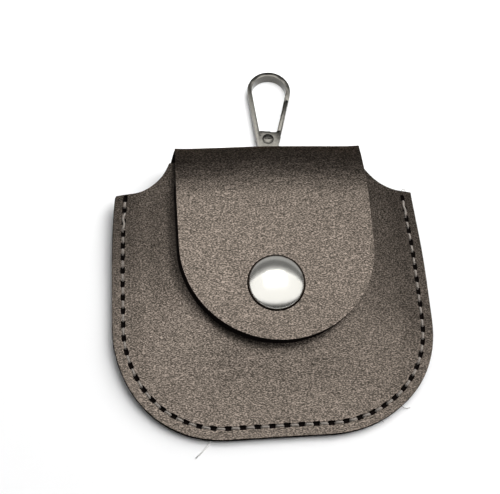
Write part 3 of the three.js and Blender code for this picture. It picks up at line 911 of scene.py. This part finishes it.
# Loose bits of thread as points along them: the tail that lies on the table past the round bottom, then
# single fibres that stand out of the seam at the lower right and at the right shoulder.
TAIL = [(-16.2, -65.0, 0.75), (-17.2, -66.8, 0.3), (-18.7, -68.5, 0.2), (-20.6, -70.3, 0.16)]
TAIL_WIDTH = 0.36
FIBRES = [
    [(31.6, -58.0, 1.4), (32.3, -59.0, 0.9), (32.8, -59.3, 0.6), (33.6, -59.4, 0.5), (34.4, -59.3, 0.6)],
    [(25.6, -62.0, 1.4), (26.3, -62.4, 1.2), (26.7, -62.5, 1.0), (27.2, -62.9, 0.8)],
    [(37.5, 0.2, 4.3), (37.6, 0.9, 4.6), (37.9, 1.1, 4.8), (38.4, 0.9, 4.6), (38.6, 0.2, 4.3)],
]
FIBRE_WIDTH = 0.15


def strand(points):
    """Placings along a loose bit of thread, each turned the way that the thread runs."""
    spots = [place(*point) for point in points]
    frames = []
    for at, spot in enumerate(spots):
        forward = (spots[min(at + 1, len(spots) - 1)] - spots[max(at - 1, 0)]).normalized()
        across = Vector((0.0, 0.0, 1.0)).cross(forward).normalized()
        turn = Matrix((forward, across, forward.cross(across))).transposed().to_4x4()
        frames.append(Matrix.Translation(spot) @ turn)
    return frames


def loose_thread(name, strands, width, material):
    """A piece of one or more loose strands of the same width."""
    bm = bmesh.new()
    for points in strands:
        tube(bm, strand(points), width, width)
    bmesh.ops.recalc_face_normals(bm, faces=bm.faces)
    return piece(name, bm, [material])


thread_end = loose_thread("loose_thread_end", [TAIL], TAIL_WIDTH, FRAYED)
seam_fibres = loose_thread("loose_seam_fibres", FIBRES, FIBRE_WIDTH, THREAD)


# Press snap

# The flap's slope under the snap is its fall over one millimetre.
SNAP_SLOPE = flap_height(SNAP_X, SNAP_Y + 0.5) - flap_height(SNAP_X, SNAP_Y - 0.5)
SNAP_AT = (Matrix.Translation(place(SNAP_X, SNAP_Y, flap_height(SNAP_X, SNAP_Y)))
           @ Matrix.Rotation(math.atan(SNAP_SLOPE), 4, "X") @ Matrix.Scale(MM, 4))
SNAP_SIDES = 72
# The cap from its middle to its rim, as the arcs of the stamping die: the radius of each arc, and how
# steep the cap has become at the end of it.
CAP_TOP = 3.3
CAP_ARCS = [(11.0, 38.0), (1.1, 90.0)]
CAP_STEPS = 14
# The rolled rim's underside and the shank, as radius and height
CAP_UNDER = [(7.0, 0.12), (6.6, 0.12), (6.4, 0.35), (1.8, 0.35), (1.8, -1.6), (0.0, -1.6)]
# The seat that the cap has pressed into the flap
SEAT_DEPTH = 0.35
SEAT_GAP = 0.3
SEAT_PUNCH_TOP = 1.0


def turned(name, outline, at, materials, sides):
    """A piece turned on a lathe from its outline, radius and height."""
    bm = bmesh.new()
    verts = [bm.verts.new((radius, 0.0, height)) for radius, height in outline]
    edges = [bm.edges.new(pair) for pair in zip(verts, verts[1:])]
    bmesh.ops.spin(bm, geom=verts + edges, cent=(0, 0, 0), axis=(0, 0, 1), angle=2 * math.pi, steps=sides,
                   use_merge=True)
    bmesh.ops.remove_doubles(bm, verts=bm.verts, dist=WELD)
    bmesh.ops.recalc_face_normals(bm, faces=bm.faces)
    bmesh.ops.transform(bm, matrix=at, verts=bm.verts)
    made = piece(name, bm, materials)
    sharpen(made, TURNED_CRISP)
    return made


def cap_dome():
    """The cap's outer side from its middle to its rim, as radius and height."""
    outline = [(0.0, CAP_TOP)]
    tilt = 0.0
    for arc, degrees in CAP_ARCS:
        radius, height = outline[-1]
        steep = math.radians(degrees)
        for step in range(1, CAP_STEPS + 1):
            turn = blend(tilt, steep, step / CAP_STEPS)
            outline.append((radius + arc * (math.sin(turn) - math.sin(tilt)),
                            height - arc * (math.cos(tilt) - math.cos(turn))))
        tilt = steep
    return outline


dome = cap_dome()
seat_radius = dome[-1][0] + SEAT_GAP
seat_outline = [(0.0, SEAT_PUNCH_TOP), (seat_radius, SEAT_PUNCH_TOP), (seat_radius, -SEAT_DEPTH),
                (0.0, -SEAT_DEPTH)]
seat_punch = turned("cap_seat_punch", seat_outline, SNAP_AT, LEATHER_FINISHES, SNAP_SIDES)
# The seat's wall and floor take the nearly black cut-edge finish: painted shade in the thin gap round the
# cap's rim.
for face in seat_punch.data.polygons:
    face.material_index = CUT
cut_with(back_and_flap, seat_punch)
sharpen(back_and_flap, LEATHER_CRISP)
snap_cap = turned("snap_cap_dome", dome + CAP_UNDER, SNAP_AT, [NICKEL], SNAP_SIDES)


# Snap hook

HOOK_AT = Matrix.Translation(place(HOOK_X, HOOK_Y, 0)) @ Matrix.Rotation(HOOK_LEAN, 4, "Z")
RIVET_AT = HOOK_AT @ Matrix.Translation((0, RIVET_Y * MM, 0))
HOOK_ROUNDING = 0.36
HOOK_ROUND_STEPS = 4
# In degrees, faces within HOOK_FLAT are one flat face, and edges sharper than HOOK_CORNER are rounded, but
# none within RIVET_CLEAR of the rivet.
HOOK_FLAT = 1
HOOK_CORNER = 30
RIVET_CLEAR = 2.0


def cast_from(node, name):
    """A cast piece with the shape of a CAD node, its sharp corners rounded off."""
    bm = bmesh.new()
    bm.from_mesh(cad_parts[node].data)
    bmesh.ops.remove_doubles(bm, verts=bm.verts, dist=WELD * MM)
    bmesh.ops.dissolve_limit(bm, angle_limit=math.radians(HOOK_FLAT), verts=bm.verts, edges=bm.edges)
    corners = []
    for edge in bm.edges:
        middle = (edge.verts[0].co + edge.verts[1].co) / 2
        level = all(min(abs(v.co.z - HOOK_LOW * MM), abs(v.co.z - HOOK_HIGH * MM)) < SAME * MM
                    for v in edge.verts)
        clear = (middle - RIVET_AT.translation).to_2d().length > RIVET_CLEAR * MM
        sharp = len(edge.link_faces) == 2 and edge.calc_face_angle() > math.radians(HOOK_CORNER)
        if level and clear and sharp:
            corners.append(edge)
    bmesh.ops.bevel(bm, geom=corners, offset=HOOK_ROUNDING * MM, segments=HOOK_ROUND_STEPS, profile=0.5,
                    affect="EDGES", clamp_overlap=True, material=-1)
    made = piece(name, bm, [GUNMETAL])
    sharpen(made, CAST_CRISP)
    return made


hook_frame = cast_from("hook_frame", "hook_casting")
hook_gate = cast_from("hook_gate", "hook_gate_lever")

RIVET_SIDES = 32
RIVET_RADIUS = 1.3
RIVET_HEAD = 1.45
RIVET_TOP = 3.52
RIVET_OUTLINE = [(0.0, RIVET_TOP), (0.8, 3.47), (1.2, 3.36), (RIVET_HEAD, 3.2), (RIVET_HEAD, 3.0),
                 (RIVET_RADIUS, 2.9), (RIVET_RADIUS, 0.4), (1.05, 0.15), (0.0, 0.1)]
SLOT_LENGTH = 2.3
SLOT_WIDTH = 0.5
SLOT_DEPTH = 0.3
gate_rivet = turned("gate_rivet_head", RIVET_OUTLINE, RIVET_AT @ Matrix.Scale(MM, 4), [RIVETED], RIVET_SIDES)
bm = bmesh.new()
box(bm, RIVET_AT @ Matrix.Translation((0, 0, RIVET_TOP * MM)), SLOT_LENGTH, SLOT_WIDTH, 2 * SLOT_DEPTH)
cut_with(gate_rivet, piece("slot_cutter", bm, [RIVETED]))
sharpen(gate_rivet, TURNED_CRISP)


# Hook tab: a strap folded round the hook's eye, its two tails pressed together under the back panel

TAB_LEATHER = 1.0
TAB_WIDTH = 7.0
TAB_TAIL = -20.0
TAB_SPLIT = -10.0
TAB_TAIL_STEPS = 8
TAB_LOOP_STEPS = 14
TAB_HOLE = 1.3
# The two tails are a hair thinner than the leather, so that they lie close without touching.
TAB_HAIR = 0.02
EYE_Z = HOOK_LOW + TAB_HOLE + TAB_LEATHER


def tab_top(y):
    """The upper tail's outer side, just under the back panel, at a place along the hook."""
    return back_height(0, HOOK_Y + y) - GAP


def tab_line():
    """The strap's outer side as y and z, from the lower tail round the eye to the upper tail."""
    outer = TAB_HOLE + TAB_LEATHER
    line = []
    for step in range(TAB_TAIL_STEPS + 1):
        y = blend(TAB_TAIL, TAB_SPLIT, step / TAB_TAIL_STEPS)
        line.append((y, tab_top(y) - 2 * TAB_LEATHER + TAB_HAIR))
    for step in range(TAB_LOOP_STEPS + 1):
        angle = blend(-math.pi / 2, math.pi / 2, step / TAB_LOOP_STEPS)
        line.append((outer * math.cos(angle), EYE_Z + outer * math.sin(angle)))
    for step in range(TAB_TAIL_STEPS + 1):
        y = blend(TAB_SPLIT / 2, TAB_TAIL, step / TAB_TAIL_STEPS)
        line.append((y, tab_top(y)))
    return line


bm = bmesh.new()
verts = [bm.verts.new((-TAB_WIDTH / 2 * MM, y * MM, z * MM)) for y, z in tab_line()]
edges = [bm.edges.new(pair) for pair in zip(verts, verts[1:])]
strip = bmesh.ops.extrude_edge_only(bm, edges=edges)["geom"]
far_side = [part for part in strip if isinstance(part, bmesh.types.BMVert)]
bmesh.ops.translate(bm, vec=(TAB_WIDTH * MM, 0, 0), verts=far_side)
bmesh.ops.transform(bm, matrix=HOOK_AT, verts=bm.verts)
bmesh.ops.recalc_face_normals(bm, faces=bm.faces)
hook_tab = piece("hook_tab_strap", bm, [STRAP, STRAP, LEATHER_FINISHES[CUT]])
thicken(hook_tab, TAB_LEATHER - 2 * TAB_HAIR, 0, False)
sharpen(hook_tab, LEATHER_CRISP)


# What each piece rides on and stands for

for made, node, slot in (
    (back_and_flap, "back_and_flap", "coated_leather"),
    (front_panel, "front_panel", "coated_leather"),
    (snap_cap, "snap_cap", "polished_nickel"),
    (hook_frame, "hook_frame", "gunmetal"),
    (hook_gate, "hook_gate", "gunmetal"),
    (gate_rivet, "gate_rivet", "gunmetal"),
    (hook_tab, "hook_tab", "dark_leather"),
):
    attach(made, "gate" if made is hook_gate else "pouch")
    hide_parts(node)
for made in (front_stitches, back_stitches, thread_end, seam_fibres):
    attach(made, "pouch")
# The snap's hidden socket and stud are the CAD nodes themselves.
for node in ("snap_socket", "snap_stud"):
    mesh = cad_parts[node].data
    mesh.materials.clear()
    mesh.materials.append(NICKEL)


# Table, light and camera, in metres

TABLE_HALF = 3.0
ROOM_GLOW = 0.05
# What shiny surfaces mirror: a bright softbox, half as bright along its far border, under a wide white
# ceiling, and the grey far end of the room. Each has its place, the point that it faces, its size and its
# brightness.
MIRRORED = [
    ("overhead_softbox", (0.008, 0.150, 0.7), (0.008, 0.150, 0.0), (0.65, 0.456), 1.54),
    ("overhead_border", (0.008, 0.204, 0.71), (0.008, 0.204, 0.0), (0.65, 0.568), 1.54),
    ("ceiling", (0.0, -0.35, 0.8), (0.0, -0.35, 0.0), (8.0, 1.78), 1.12),
    ("ceiling_border", (0.0, 0.65, 0.82), (0.0, 0.65, 0.0), (8.0, 0.5), 0.31),
    ("far_wall", (0.0, 0.9, 0.42), (0.0, 0.0, 0.42), (4.0, 0.8), 0.1),
    ("far_table", (0.0, 0.8, 0.15), (0.0, 0.0, 0.15), (3.0, 0.26), 0.3),
]
# What lights matt surfaces: a fill from above, a key from the right that throws the soft shadow to the left,
# and a small lamp over the hook that keeps its shadow narrow.
LIGHTING = [
    ("overhead_fill", (0.036, 0.2, 0.7), (0.036, 0.2, 0.0), (0.946, 0.5), 3.0),
    ("right_key", (0.80, 0.46, 0.98), (0.0, 0.0, 0.0), (1.7, 1.7), 3.2),
    ("hook_fill", (0.0, 0.045, 0.04), (0.0, 0.045, 0.0), (0.02, 0.02), 10.0),
]
# The photograph's camera: its place, and which way its right and its upper side point
CAMERA_AT = (-0.02418, -0.12413, 0.28206)
CAMERA_RIGHT = Vector((0.9977, -0.0462, 0.0492))
CAMERA_UP = Vector((0.0224, 0.9146, 0.4038))

bm = bmesh.new()
bmesh.ops.create_grid(bm, x_segments=1, y_segments=1, size=TABLE_HALF)
table = piece("table_top", bm, [PAPER])

world = bpy.data.worlds.new("studio")
world.use_nodes = True
world.node_tree.nodes["Background"].inputs["Color"].default_value = linear("#ffffff")
world.node_tree.nodes["Background"].inputs["Strength"].default_value = ROOM_GLOW
bpy.context.scene.world = world


def softbox(name, at, aim, size, brightness, mirrored):
    """An area light that faces a point, and either is mirrored by shiny surfaces or lights matt ones."""
    lamp = bpy.data.lights.new(name, "AREA")
    lamp.shape = "RECTANGLE"
    lamp.size, lamp.size_y = size
    lamp.energy = brightness * math.pi * size[0] * size[1]
    made = bpy.data.objects.new(name, lamp)
    made.location = at
    made.rotation_euler = (Vector(aim) - Vector(at)).to_track_quat("-Z", "Y").to_euler()
    made.visible_camera = False
    made.visible_glossy = mirrored
    made.visible_diffuse = not mirrored
    bpy.context.scene.collection.objects.link(made)


for light in MIRRORED:
    softbox(*light, mirrored=True)
for light in LIGHTING:
    softbox(*light, mirrored=False)

camera = bpy.data.cameras.new("photo_camera")
camera.sensor_width = 36.0
camera.lens = 82.2
camera.clip_start = 0.01
view = bpy.data.objects.new("photo_camera", camera)
axes = Matrix((CAMERA_RIGHT, CAMERA_UP, CAMERA_RIGHT.cross(CAMERA_UP))).transposed().to_4x4()
view.matrix_world = Matrix.Translation(CAMERA_AT) @ axes
bpy.context.scene.collection.objects.link(view)
bpy.context.scene.camera = view
bpy.context.scene.view_settings.view_transform = "Standard"
